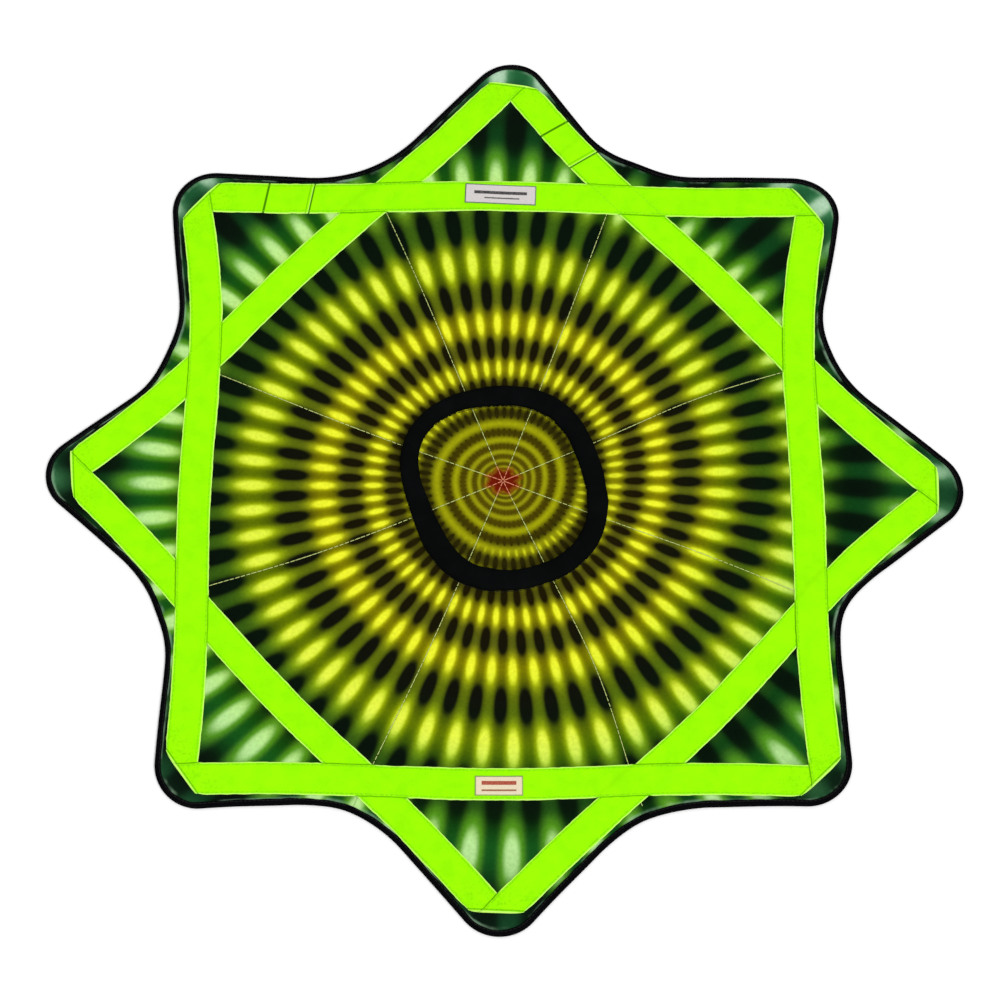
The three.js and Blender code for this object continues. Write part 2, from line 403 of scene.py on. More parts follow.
class Material:
    """A material with one Principled shader, and short calls for the nodes it is made of."""

    def __init__(self, name, roughness=0.6, specular=0.3, sheen=0.0, sheen_roughness=0.5):
        self.data = bpy.data.materials.new(name)
        self.data.use_nodes = True
        self.tree = self.data.node_tree
        self.tree.nodes.clear()
        self.shader = self.tree.nodes.new("ShaderNodeBsdfPrincipled")
        output = self.tree.nodes.new("ShaderNodeOutputMaterial")
        self.tree.links.new(self.shader.outputs[0], output.inputs[0])
        self.set("Roughness", roughness)
        self.set("Specular IOR Level", specular)
        self.set("Sheen Weight", sheen)
        self.set("Sheen Roughness", sheen_roughness)

    def set(self, name, value):
        plug(self.tree, self.shader.inputs[name], value)

    def place(self, attribute):
        """A coordinate attribute, in millimetres, and its three numbers."""
        node = self.tree.nodes.new("ShaderNodeAttribute")
        node.attribute_name = attribute
        split = self.tree.nodes.new("ShaderNodeSeparateXYZ")
        self.tree.links.new(node.outputs["Vector"], split.inputs[0])
        return Wire(self.tree, node.outputs["Vector"]), *(Wire(self.tree, o) for o in split.outputs)

    def noise(self, vector, scale, detail=2.0, roughness=0.5):
        """Noise from 0 to 1, its scale in bumps per millimetre."""
        node = self.tree.nodes.new("ShaderNodeTexNoise")
        self.tree.links.new(vector.socket, node.inputs["Vector"])
        node.inputs["Scale"].default_value = scale
        node.inputs["Detail"].default_value = detail
        node.inputs["Roughness"].default_value = roughness
        return Wire(self.tree, node.outputs[0])

    def vector(self, x, y, z=0.0):
        node = self.tree.nodes.new("ShaderNodeCombineXYZ")
        for socket, value in zip(node.inputs, (x, y, z)):
            plug(self.tree, socket, value)
        return Wire(self.tree, node.outputs[0])

    def mix(self, share, first, second):
        node = self.tree.nodes.new("ShaderNodeMix")
        node.data_type = "RGBA"
        plug(self.tree, node.inputs[0], share)
        plug(self.tree, node.inputs[6], first)
        plug(self.tree, node.inputs[7], second)
        return Wire(self.tree, node.outputs[2])

    def ramp(self, factor, stops):
        """Colours along a factor: stops are (place, colour)."""
        node = self.tree.nodes.new("ShaderNodeValToRGB")
        self.tree.links.new(factor.socket, node.inputs[0])
        while len(node.color_ramp.elements) < len(stops):
            node.color_ramp.elements.new(1.0)
        for element, (place, colour) in zip(node.color_ramp.elements, stops):
            element.position = place
            element.color = colour
        return Wire(self.tree, node.outputs[0])

    def bump(self, height, strength=1.0, distance=0.1):
        """Raises the surface by height times distance, in millimetres."""
        node = self.tree.nodes.new("ShaderNodeBump")
        node.inputs["Strength"].default_value = strength
        node.inputs["Distance"].default_value = distance * MM
        self.tree.links.new(height.socket, node.inputs["Height"])
        if self.shader.inputs["Normal"].links:
            earlier = self.shader.inputs["Normal"].links[0].from_socket
            self.tree.links.new(earlier, node.inputs["Normal"])
        self.tree.links.new(node.outputs[0], self.shader.inputs["Normal"])

    def weave(self, x, y, pitch):
        """The height of a plain weave of round threads, from 0 to 1."""
        turn = 2 * math.pi / pitch
        return (x * turn).sin() * (y * turn).sin() * 0.5 + 0.5


# The print is one slow spiral of bright rings, cut into 60 lobes round the circle. Its growth, its slow
# drifts and its colours were fitted to the photo with scratch programs. The colours were then adjusted.
BINDING_WIDTH = 3.8
PRINT_CENTRE = (1.1, -5.0)
FIRST_RING = 19.3  # radius where the innermost full ring is brightest, in mm
RING_GROWTH = 0.331  # of the radius' logarithm from one ring to the next
LOBES = 60
# Colours by radius: dark ring between lobes and on one, bright ring between lobes and on one, and the
# bright middle of a lobe.
PRINT = (
    (16, (90, 80, 4), (92, 82, 5), (150, 148, 16), (152, 150, 18), (160, 156, 24)),
    (36, (66, 58, 3), (68, 60, 4), (166, 168, 10), (168, 170, 10), (180, 182, 16)),
    (48, (44, 40, 6), (62, 58, 8), (146, 146, 8), (178, 182, 16), (208, 212, 26)),
    (85, (28, 22, 4), (88, 88, 18), (136, 131, 4), (232, 234, 12), (250, 255, 48)),
    (125, (18, 20, 8), (92, 102, 18), (128, 124, 2), (240, 244, 14), (250, 255, 52)),
    (145, (16, 18, 9), (96, 112, 12), (92, 112, 2), (222, 246, 14), (232, 253, 62)),
    (172, (8, 22, 10), (68, 104, 16), (100, 120, 3), (226, 250, 14), (240, 255, 76)),
    (190, (8, 20, 10), (60, 96, 18), (64, 106, 4), (184, 232, 26), (214, 246, 92)),
    (222, (5, 13, 8), (16, 66, 20), (24, 84, 12), (120, 200, 44), (196, 244, 144)),
    (240, (7, 14, 9), (15, 68, 26), (22, 88, 27), (104, 190, 64), (192, 240, 156)),
    (256, (8, 16, 10), (16, 62, 23), (20, 80, 26), (84, 160, 62), (178, 226, 144)),
    (272, (8, 14, 10), (13, 42, 17), (15, 54, 20), (50, 116, 46), (100, 160, 92)),
    (295, (10, 24, 15), (26, 74, 44), (36, 100, 58), (100, 170, 115), (186, 222, 188)),
)


def print_pattern(m, x, y):
    """How bright the print's ring is at a place, how bright its lobe is, and the place's radius."""
    radius = (x * x + y * y).math("SQRT").math("MAXIMUM", 0.5)
    cosine, sine = x / radius, y / radius
    turn = y.math("ARCTAN2", x)
    double, twin = cosine * cosine - sine * sine, cosine * sine * 2
    corners = (turn * 3 - math.radians(315)).cos() * 0.055 * radius.step(40, 150, 1, 0.2)
    sway = cosine * 0.027 + sine * 0.074 - double * 0.022 - corners - 0.015
    rings = (radius / FIRST_RING).math("LOGARITHM", math.e) / RING_GROWTH - turn / (2 * math.pi) - sway
    bright = (rings * (2 * math.pi)).cos() * 0.5 + 0.5
    far = radius / 200
    lead = far * 116 + 125 + cosine * (far * 18 - 78) + sine * (21 - far * 21) + twin * 46 * (far - 1)
    lobe = (turn * LOBES + lead * math.radians(1)).cos() * 0.5 + 0.5
    return bright, lobe, radius


def printed_cloth():
    m = Material("printed_cloth", roughness=0.62, specular=0.01)
    place, x, y, _ = m.place("lie")
    _, rim_distance, _, _ = m.place("rim")
    bright, lobe, radius = print_pattern(m, x - PRINT_CENTRE[0], y - PRINT_CENTRE[1])
    ovals = ((1 - bright) * (1 - lobe)).step(0.32, 0.68) * radius.step(195, 218, 1, 0.55)
    halo = (bright * lobe).step(0.05, 0.75) * radius.step(195, 222, 0, 0.9) * radius.step(262, 276, 1, 0)
    bright = bright.math("POWER", 1.6)
    lobe = m.mix(radius.step(44, 52), (0.4, 0.4, 0.4, 1), lobe.math("POWER", 1.6))

    def colours(column):
        return m.ramp(radius / REACH, [(row[0] / REACH, paint(*row[column])) for row in PRINT])

    dark = m.mix(lobe.step(0, 1, 0.13, 1), colours(1), colours(2))
    light = m.mix(lobe, colours(3), colours(4))
    colour = m.mix(bright, dark, light)
    colour = m.mix(halo, colour, paint(92, 160, 26))
    colour = m.mix((bright * lobe).step(0.3, 0.88), colour, colours(5))
    colour = m.mix(ovals, colour, colours(1))
    # Painted highlight: the print and the cloth are paler just inside the binding, in patches.
    edge = rim_distance.step(BINDING_WIDTH, BINDING_WIDTH + 1.6, 1, 0)
    rim_highlight_patches = m.noise(place, 0.04, 3, 0.6).step(0.45, 0.65, 0.0, 0.6)
    colour = m.mix(edge * rim_highlight_patches, colour, paint(150, 190, 155))
    # A ragged red spot in the middle, orange at its edge.
    home_x, home_y = (x - CENTRE[0]) * 0.95, (y - CENTRE[1]) * 1.2
    petals = (home_y.math("ARCTAN2", home_x) * 8 + 0.6).cos() * 0.9
    spot = (home_x * home_x + home_y * home_y).math("SQRT") + petals
    spot = spot + m.noise(place, 0.4, 3, 0.7) * 7 - 3.5
    colour = m.mix(spot.step(8.5, 13.5, 1, 0), colour, paint(140, 84, 14))
    colour = m.mix(spot.step(7, 10, 1, 0), colour, paint(112, 24, 6))
    mottle = m.noise(place, 0.12, 3, 0.6)
    grain = m.noise(place, 0.45, 3, 0.65)
    colour = m.mix(grain.step(0.35, 0.7, 0.0, 0.14), colour, (0, 0, 0, 1))
    threads = m.weave(x, y, 0.55)
    colour = m.mix(threads * 0.1, colour, (0, 0, 0, 1))
    m.set("Base Color", colour)
    m.set("Roughness", mottle * 0.12 + 0.55)
    m.bump(threads, 0.35, 0.05)
    m.bump(m.noise(place, 0.2, 4, 0.6), 0.4, 0.35)
    return m.data


def plain_fabric(name, colour, worn, pitch, sheen=0.1, roughness=0.8, specular=0.06, coordinates="lie"):
    """A woven fabric in one colour, with lighter worn patches."""
    m = Material(name, roughness, specular, sheen)
    place, x, y, _ = m.place(coordinates)
    patch = m.noise(place, 0.06, 4, 0.65)
    threads = m.weave(x, y, pitch)
    m.set("Base Color", m.mix(patch.step(0.35, 0.8) * 0.6 + threads * 0.3, paint(*colour), paint(*worn)))
    m.set("Roughness", patch * 0.15 + (roughness - 0.08))
    m.bump(threads, 0.6, 0.08)
    m.bump(m.noise(place, 0.5, 3), 0.4, 0.12)
    return m.data


def neon_tape():
    """Bright tape: fine cross ribs, a painted highlight on its edges beside the cloth and painted shadow on
    its edges on other tape, a painted highlight and painted groove shade at the corners' folds, faint marks,
    and at a cut end a painted highlight, painted groove shade and painted shadow on the tape under it."""
    m = Material("neon_tape", 0.7, 0.03)
    place, _, _, _ = m.place("lie")
    _, along, across, _ = m.place("run")
    _, fold, bare, cut = m.place("rim")
    ribs = (along * (2 * math.pi / 0.7)).sin() * 0.5 + 0.5
    warp = (across * (2 * math.pi / 0.9)).sin() * 0.5 + 0.5
    mottle = m.noise(place, 0.09, 4, 0.6)
    fleck = m.noise(place, 0.8, 2, 0.5)
    off = m.noise(place, 0.25, 2) * 0.5 - 0.25 + across.math("ABSOLUTE")
    colour = m.mix(mottle.step(0.35, 0.7), paint(160, 255, 0), paint(150, 249, 0))
    seam = (off - (HALF_TAPE - 1.5)).math("ABSOLUTE").step(0.2, 1.1, 1, 0)
    colour = m.mix(seam * fleck.step(0.45, 0.6) * 0.6, colour, paint(128, 222, 0))
    colour = m.mix(fleck.step(0.66, 0.78) * 0.3, colour, paint(118, 205, 0))
    rough = m.noise(place, 0.5, 4, 0.7).step(0.5, 0.66)
    colour = m.mix(fold.step(5, 26, 0.5, 0) * rough, colour, paint(124, 214, 0))
    # Painted highlight on the edges beside the cloth, and painted shadow on the edges that lie on other
    # tape.
    edge_highlight_and_shadow = off.step(HALF_TAPE - 0.85, HALF_TAPE - 0.4)
    colour = m.mix(edge_highlight_and_shadow * bare * 0.9, colour, paint(205, 255, 115))
    colour = m.mix(edge_highlight_and_shadow * (1 - bare) * 0.8, colour, paint(84, 165, 0))
    # Painted highlight on the corner's fold edge.
    colour = m.mix(fold.step(0.9, 0.5) * 0.9, colour, paint(205, 255, 115))
    # Painted shade of a stitched groove, 1.5 mm inside the fold edge.
    fold_groove_shade = (fold - 1.5).math("ABSOLUTE").step(0.15, 0.6, 1, 0)
    colour = m.mix(fold_groove_shade * 0.8, colour, paint(84, 165, 0))
    # Painted shadow on the tape that lies under a cut end, just past the end.
    colour = m.mix((cut - UNDER_CUT - 0.3).math("ABSOLUTE").step(0.5, 1.0, 1, 0), colour, paint(70, 140, 0))
    # Painted highlight on a cut end's edge.
    colour = m.mix(cut.step(0.2, 0.5, 0.9, 0), colour, paint(205, 255, 115))
    # Painted shade of a stitched groove, 1.8 mm in from a cut end.
    colour = m.mix((cut - 1.8).math("ABSOLUTE").step(0.15, 0.7, 0.6, 0), colour, paint(96, 185, 0))
    m.set("Base Color", colour)
    m.set("Roughness", mottle * 0.1 + 0.62)
    m.bump(ribs * 0.7 + warp * 0.3, 0.5, 0.07)
    m.bump(mottle, 0.4, 0.3)
    return m.data


def woven_label(name, ground, border, bars):
    """A woven label with a thin border and plain bars: bars are (x, y, width, height, colour)."""
    m = Material(name, 0.65, 0.1, 0.05)
    place, x, y, edge = m.place("run")
    speck = m.noise(place, 1.6, 3, 0.6)
    colour = m.mix(speck.step(0.5, 0.72) * 0.45, paint(*ground), paint(*(0.72 * v for v in ground)))
    for left, low, width, height, shade in bars:
        inside = (x - left - width / 2).math("ABSOLUTE").step(width / 2, width / 2 - 0.3)
        inside = inside * (y - low - height / 2).math("ABSOLUTE").step(height / 2, height / 2 - 0.3)
        colour = m.mix(inside * speck.step(0.25, 0.5, 0.55, 0.95), colour, paint(*shade))
    colour = m.mix(edge.step(0.9, 0.45) * 0.8, colour, paint(*border))
    m.set("Base Color", colour)
    m.bump(m.weave(x, y, 0.5), 0.5, 0.06)
    m.bump(speck, 0.3, 0.06)
    return m.data


def thread_material(name, colour, shade, middle=None):
    """Twisted sewing thread. Its colour may be another one in the middle of the cloth."""
    m = Material(name, 0.6, 0.1, 0.05)
    place, along, across, _ = m.place("run")
    twist = ((along + across * 0.5) * (2 * math.pi / 0.8)).sin() * 0.5 + 0.5
    tone = m.noise(place, 0.05, 2)
    colour = m.mix(twist * 0.5 + tone * 0.4, paint(*shade), paint(*colour))
    if middle:
        _, x, y, _ = m.place("lie")
        home = ((x - CENTRE[0]).math("POWER", 2) + (y - CENTRE[1]).math("POWER", 2)).math("SQRT")
        colour = m.mix(home.step(9, 14, 1, 0), colour, paint(*middle))
    m.set("Base Color", colour)
    m.set("Roughness", tone * 0.2 + 0.5)
    m.bump(twist, 0.5, 0.05)
    return m.data


def foam():
    m = Material("ring_filling", 0.9, 0.1)
    place, _, _, _ = m.place("lie")
    cells = m.noise(place, 0.9, 3, 0.7)
    m.set("Base Color", m.mix(cells, paint(38, 38, 42), paint(62, 62, 66)))
    m.bump(cells, 0.8, 0.3)
    return m.data


CLOTH_FACE = printed_cloth()
CLOTH_LINING = plain_fabric("lining_cloth", (14, 15, 16), (30, 31, 33), 0.6, sheen=0.03)
BINDING = plain_fabric("edge_binding", (5, 5, 7), (13, 13, 15), 0.5, sheen=0.0, specular=0.01,
                       coordinates="run")
RING_FABRIC = plain_fabric("ring_fabric", (6, 7, 7), (14, 15, 16), 0.7, sheen=0.0, specular=0.01,
                           coordinates="run")
TAPE_MATERIAL = neon_tape()
FOAM = foam()
PALE_THREAD = thread_material("pale_thread", (214, 228, 146), (180, 196, 110), middle=(236, 150, 112))
TAPE_THREAD = thread_material("tape_thread", (166, 255, 24), (118, 215, 0))
BLACK_THREAD = thread_material("black_thread", (26, 26, 28), (12, 12, 13))


# ---------------------------------------------------------------- face and lining
CLOTH_INSET = 1.4  # from the outline to the cut edges of the face and the lining
COLUMNS = 57  # across a wedge
ROWS_TO_FOLD, ROWS_PAST_FOLD = 72, 66
ROWS = ROWS_TO_FOLD + ROWS_PAST_FOLD  # from the centre to the edge
TURN_BEFORE = 9  # the last straight row lies this far inside the line between two notches
STRAIGHT = math.cos(HALF_STEP) * math.hypot(*NOTCHES[0]) - TURN_BEFORE


def wedge(k, height, inset, groove):
    """One eighth of the cloth, between two radial lines, out to the edge less an inset: its places, and
    their distances from the outline."""
    across = np.linspace(-1, 1, COLUMNS)
    across = across * (1.3 - 0.3 * across ** 2)  # closer together near the radial lines
    turn = (across / 2 + k - 1) * STEP
    edge = edge_radius(turn, inset)
    # The rows are straight, along the fold, before the point starts to bend. Then they turn to the outline.
    straight = STRAIGHT / np.cos(np.radians(across / 2 * STEP))
    to_fold = np.linspace(0.0005, 1, ROWS_TO_FOLD)[:, None] * straight
    past_fold = straight + np.linspace(0, 1, ROWS_PAST_FOLD + 1)[1:, None] * (edge - straight)
    radius = np.concatenate((to_fold, past_fold))
    rim = inset + (edge - radius) * 0.8
    x, y = lay(radius, np.broadcast_to(turn, radius.shape))
    z = height + relief(x, y)
    if groove:
        z = z + seam_relief(x, y)
    return np.stack((x, y, z), -1).reshape(-1, 3), rim.ravel()


def flat_size(places):
    """The area of a wedge's grid, in square metres."""
    p = places.reshape(ROWS, COLUMNS, 3)[:, :, :2] * MM
    a, b = p[1:, 1:] - p[:-1, :-1], p[1:, :-1] - p[:-1, 1:]
    return float(np.abs(a[..., 0] * b[..., 1] - a[..., 1] * b[..., 0]).sum() / 2)


def cloth_wedge(kind, k, height, material, nodes, groove):
    places, rim = wedge(k, height, CLOTH_INSET, groove)
    piece = make(f"{kind}_{k}", places, grid_faces(ROWS, COLUMNS), material, rim=np.stack((rim,) * 3, 1))
    thicken(piece, CLOTH)
    bend(piece, k)
    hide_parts(*nodes)
    flat_size(places)


# ---------------------------------------------------------------- binding
# Its section, as (in from the edge, height): folded over the edge, with the cloth inside it.
BINDING_SECTION = (
    (3.8, 1.75), (3.85, 2.0), (3.5, 2.2), (2.4, 2.3), (1.2, 2.28), (0.45, 2.0), (0.05, 1.5), (0.0, 1.1),
    (0.05, 0.65), (0.4, 0.22), (1.2, 0.03), (2.4, 0.0), (3.5, 0.05), (3.8, 0.2), (3.8, 0.42),
    (1.4, 0.45), (1.1, 1.1), (1.4, 1.7),
)


def edge_turns(count):
    """Angles from notch to notch of the point at +X, evenly spaced along the edge."""
    line = half_edge(0)
    line = np.concatenate((line[:0:-1] * (1, -1), line))
    along = np.concatenate(([0], np.cumsum(np.hypot(*np.diff(line, axis=0).T))))
    at = np.linspace(0, along[-1], count)
    x, y = np.interp(at, along, line[:, 0]), np.interp(at, along, line[:, 1])
    return np.degrees(np.arctan2(y, x)), at


def edge_place(k, turn, inset, height):
    """A place near the edge of point k as it lies."""
    turn = np.asarray(turn) + (k - 1) * STEP
    x, y = lay(edge_radius(turn, inset), turn)
    return np.stack((x, y, height + relief(x, y)), -1)


def binding(k):
    turn, along = edge_turns(150)
    rim = edge_place(k, turn, 0.0, 0.0)
    inner = edge_place(k, turn, BINDING_WIDTH, 0.0)
    rows, run = [], []
    for inset, height in BINDING_SECTION:
        ripple = 0.12 * smooth(1.5, 3.8, inset) * np.sin(along / 2.6 + 2 * np.sin(along / 17 + k))
        place = rim + (inner - rim) * ((inset + ripple) / BINDING_WIDTH)[:, None]
        place[:, 2] = height + rim[:, 2] * smooth(-0.5, 1.5, height)
        rows.append(place)
        run.append(np.stack((along, np.full(len(along), inset + height * 1.5), along * 0), -1))
    n = len(BINDING_SECTION)
    faces = grid_faces(len(turn), n, closed_columns=True)
    piece = make(f"binding_{k}", np.stack(rows, 1), faces, BINDING, solid=True, run=np.stack(run, 1))
    bend(piece, k)
    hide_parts(f"edge_binding_{k}")
    return piece


# ---------------------------------------------------------------- stitches
def stitch_row(places, pitch, length, radius, lift, sides=5, jitter=0.0, seed=1):
    """Stitches along a line of places: their points, faces and thread coordinates."""
    random = np.random.default_rng(seed)
    places = np.asarray(places, float)
    along = np.concatenate(([0], np.cumsum(np.linalg.norm(np.diff(places, axis=0), axis=1))))
    centres = np.arange(pitch / 2, along[-1] - pitch / 2, pitch)
    profile = ((-0.5, 0.4, -0.9), (-0.41, 0.9, -0.1), (0.41, 0.9, -0.1), (0.5, 0.4, -0.9))
    points, faces, run = [], [], []
    for centre in centres:
        half = length / 2 * (1 + jitter * random.uniform(-1, 1))
        side = jitter * random.uniform(-1, 1) * radius * 2

        def at(distance):
            return np.array([np.interp(distance, along, places[:, i]) for i in range(3)])

        start, end = at(centre - half), at(centre + half)
        ahead = (end - start) / np.linalg.norm(end - start)
        left = np.cross((0, 0, 1), ahead)
        left /= np.linalg.norm(left)
        up = np.cross(ahead, left)
        first = len(points)
        for share, size, drop in profile:
            middle = start + (end - start) * (share + 0.5) + up * (lift + drop * radius)
            middle = middle + left * side * share
            for i in range(sides):
                turn = 2 * math.pi * i / sides
                out = left * math.cos(turn) + up * math.sin(turn)
                points.append(middle + out * radius * size)
                run.append((centre + share * length, radius * turn, 0))
        faces += grid_faces(len(profile), sides, closed_columns=True, first=first)
        faces.append(tuple(first + i for i in reversed(range(sides))))
        faces.append(tuple(first + (len(profile) - 1) * sides + i for i in range(sides)))
    return points, faces, run


def stitches(name, rows, material):
    """One piece of several rows of stitches: rows are dicts for stitch_row."""
    points, faces, run = [], [], []
    for row in rows:
        p, f, r = stitch_row(**row)
        faces += [tuple(i + len(points) for i in face) for face in f]
        points += p
        run += r
    piece = make(name, points, faces, material, run=run)
    return piece


SEAM_STOP = 9  # the radial stitching stops this far before a notch


def seam_stitches(k):
    """The pale stitches along a radial line. They sink in where a tape lies over them."""
    line = SEAMS[k - 1]
    _, along = off_line(line[:, 0], line[:, 1], line)
    keep = np.linspace(0.5, along[-1] - SEAM_STOP, 120)
    x, y = np.interp(keep, along, line[:, 0]), np.interp(keep, along, line[:, 1])
    z = FACE_TOP + relief(x, y) + seam_relief(x, y) - 0.35 * covered(x, y, SIDES)
    piece = stitches(f"radial_stitching_{k}", [
        dict(places=np.stack((x, y, z), -1), pitch=3.7, length=3.4, radius=0.31, lift=0.17, jitter=0.2,
             seed=20 + k),
    ], PALE_THREAD)
    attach(piece, "centre")
    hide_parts(f"stitch_line_{k}")
    return piece


def binding_stitches(k):
    turn, _ = edge_turns(150)
    line = edge_place(k, turn, BINDING_WIDTH - 0.9, 0.0)
    rim = edge_place(k, turn, 0.0, 0.0)
    line[:, 2] = BINDING_TOP + rim[:, 2] - 0.05
    piece = stitches(f"binding_stitching_{k}", [
        dict(places=line[1:-1], pitch=2.8, length=2.3, radius=0.22, lift=0.08, seed=40 + k),
    ], BLACK_THREAD)
    bend(piece, k)
    return piece


# ---------------------------------------------------------------- tape squares
TAPE_REACH = (SIDE_BOX[0][0] + SIDE_BOX[1][0]) / 2 * math.sqrt(2)  # centre to a square's corner
CORNERS = [
    np.array((TAPE_REACH * math.cos(math.radians(spot * STEP)) + right,
              TAPE_REACH * math.sin(math.radians(spot * STEP)) + up))
    for spot, (right, up) in enumerate(TAPE_CORNER)
]
NEAR = 22.0  # beside a corner the tape has finer steps
EDGE_DRAW = 0.9  # how far a tape's outer edge draws in beside a corner's fold
CUT_STEP = 0.05  # a tape's last step before its cut end, so that the end stays crisp
CLIMB = 4.0  # the stretch over which a tape climbs onto what it crosses
LAPS = {2: 78, 3: 79}  # a tape's end lies over its start, so far past these corners, in mm
LAP_UNDER = 12  # how far the start goes on under the end
LAP_SLANT = 0.18  # of a tape's cut end, along it for each mm across it
TAPE_STEP = 1.6  # between places along a tape, away from its corners
EDGE_DROP = 0.18  # how far a tape's edges lie below its middle
TAPE_LINES = np.concatenate(([-HALF_TAPE, 0.35 - HALF_TAPE],
                             np.linspace(1.2 - HALF_TAPE, HALF_TAPE - 1.2, 13),
                             [HALF_TAPE - 0.35, HALF_TAPE]))


class TapeSide:
    """One side of a tape square. It runs clockwise, to the corner that it is numbered by."""

    def __init__(self, spot):
        self.start, self.end = CORNERS[(spot + 2) % 8], CORNERS[spot]
        self.length = math.dist(self.start, self.end)
        self.ahead = (self.end - self.start) / self.length
        self.inward = np.array((self.ahead[1], -self.ahead[0]))
        last, middle, first = SIDE_BOW[spot]
        even, odd = (first + last) / math.sqrt(2), (first - last) / 2
        self.waves = ((even + middle) / 2, odd, (even - middle) / 2)
        self.spread = SIDE_SPREAD[spot]

    def bow(self, along):
        share = np.asarray(along) / self.length
        return sum(size * np.sin(n * math.pi * share) for n, size in enumerate(self.waves, 1))

    def heading(self, share):
        """The tape's direction at its start, 0, or its end, 1."""
        slope = sum(size * n * math.pi / self.length * math.cos(n * math.pi * share)
                    for n, size in enumerate(self.waves, 1))
        way = self.ahead - self.inward * slope
        return way / np.linalg.norm(way)

    def place(self, along, inner):
        """Places so far along the tape, and so far to the inner side of its middle line."""
        aside = inner * self.spread - self.bow(along)
        return self.start + np.multiply.outer(along, self.ahead) + np.multiply.outer(aside, self.inward)

    def covers(self, x, y, soft=0.8):
        """1 under this side's tape, 0 away from it."""
        dx, dy = x - self.start[0], y - self.start[1]
        along = dx * self.ahead[0] + dy * self.ahead[1]
        inner = dx * self.inward[0] + dy * self.inward[1] + self.bow(along)
        past = np.maximum(-along, along - self.length)
        return (1 - smooth(HALF_TAPE - 0.1, HALF_TAPE + soft, np.abs(inner))) * (1 - smooth(10, 12, past))


SIDES = [TapeSide(spot) for spot in range(8)]


def covered(x, y, sides):
    """1 where any of these tape sides lies, 0 elsewhere."""
    return np.max([side.covers(x, y) for side in sides], axis=0)


def mitre(spot):
    """The folded corner: the way out from it, and two functions of a line's offset. They say how far past
    the corner the arm that comes in reaches the fold, and the arm that leaves starts from it."""
    come, leave = SIDES[spot], SIDES[spot - 2]
    way_in, way_out = come.heading(1), leave.heading(0)
    inwards, turned = CORNER_FOLD[spot]
    angle = math.atan2(*(way_in - way_out)[::-1]) + math.radians(turned)
    out = np.array((math.cos(angle), math.sin(angle)))

    def past_in(q):
        return (-inwards - q * (come.inward @ out)) / (way_in @ out)

    def past_out(q):
        return (-inwards + q * (leave.inward @ out)) / (way_out @ out)

    return out, past_in, past_out


def tape_top(places, upper):
    """The height of a tape's upper face, where it doesn't lie on its own other arm."""
    x, y = places[:, 0], places[:, 1]
    top = TAPE_TOP + relief(x, y)
    return top + TAPE_RISE * covered(x, y, SIDES[0::2]) if upper else top


def on_own_arm(spot, places):
    """1 where the arm that comes in to a corner lies on the arm that leaves it."""
    past = (places - CORNERS[spot]) @ SIDES[spot].ahead
    return smooth(-HALF_TAPE - CLIMB, -HALF_TAPE, past)


def on_start(spot, places):
    """1 where the tape's end lies on its start."""
    if spot not in LAPS:
        return np.zeros(len(places))
    past = (places - CORNERS[spot]) @ SIDES[spot - 2].ahead
    return smooth(LAPS[spot] - LAP_UNDER - CLIMB, LAPS[spot] - LAP_UNDER, past)


def uneven(side, along, inner, from_fold):
    """Places on a tape side, with its edges a little uneven away from the folded corner."""
    places = side.place(along, inner)
    x, y = places[:, 0], places[:, 1]
    wobble = 0.35 * (noise(x, y, 2.4, 60) - 0.5) + 0.6 * (noise(x, y, 17, 80) - 0.5)
    near_edge = smooth(HALF_TAPE - 1.5, HALF_TAPE, abs(inner))
    shift = math.copysign(1, inner) * wobble * near_edge * smooth(0, 6, from_fold)
    if inner < 0:  # the outer edge draws in towards the fold
        shift = shift + EDGE_DRAW * smooth(HALF_TAPE - 4, HALF_TAPE, -inner) * (1 - smooth(0, 8, from_fold))
    return side.place(along, inner + shift)


def tape_arm(side, along, inner, from_fold, top, spot, upper, folded, from_cut=NO_CUT):
    """Part of one line of the tape: places on its two faces, and marks for its material. A folded arm has
    its first face down. The marks are along, offset, distance from the fold, 1 beside bare cloth, and
    distance from the cut end, or UNDER_CUT and more on the tape that lies under the cut end."""
    places = uneven(side, along, inner, from_fold)
    x, y = places.T
    edge = 0.16 * (noise(x, y, 5, 33) - 0.5) * smooth(5, HALF_TAPE, abs(inner))
    edge = edge - EDGE_DROP * smooth(HALF_TAPE - 1.3, HALF_TAPE, abs(inner))
    high = np.stack((x, y, top(places) + edge), 1)
    low = high - (0, 0, TAPE)
    bare = 1 - covered(x, y, SIDES[0::2]) if upper else np.ones(len(x))
    if not folded:
        bare = bare * (1 - on_own_arm(spot, places) * smooth(0, HALF_TAPE, inner))
    out = mitre(spot)[0]
    to_fold = -(places - CORNERS[spot]) @ out - CORNER_FOLD[spot][0]
    marks = np.stack((along, np.full(len(x), inner), to_fold, bare, np.broadcast_to(from_cut, len(x))), 1)
    return (low, high, marks) if folded else (high, low, marks)


def tape_fold(high, low, out, marks):
    """The rounded fold, between the end of the upper arm's line and the start of the lower arm's."""
    radius = max((high[2] - low[2]) / 2, TAPE / 2 + 0.03)
    first, second = [], []
    for turn in np.linspace(90, -90, 9)[1:-1]:
        middle = high + (low - high) * (90 - turn) / 180
        middle[2] = (high[2] + low[2]) / 2
        across, up = math.cos(math.radians(turn)), math.sin(math.radians(turn))
        way = np.array((out[0] * across, out[1] * across, up))
        first.append(middle + way * radius)
        second.append(middle + way * (radius - TAPE))
    return np.array(first), np.array(second), np.tile(marks, (len(first), 1))


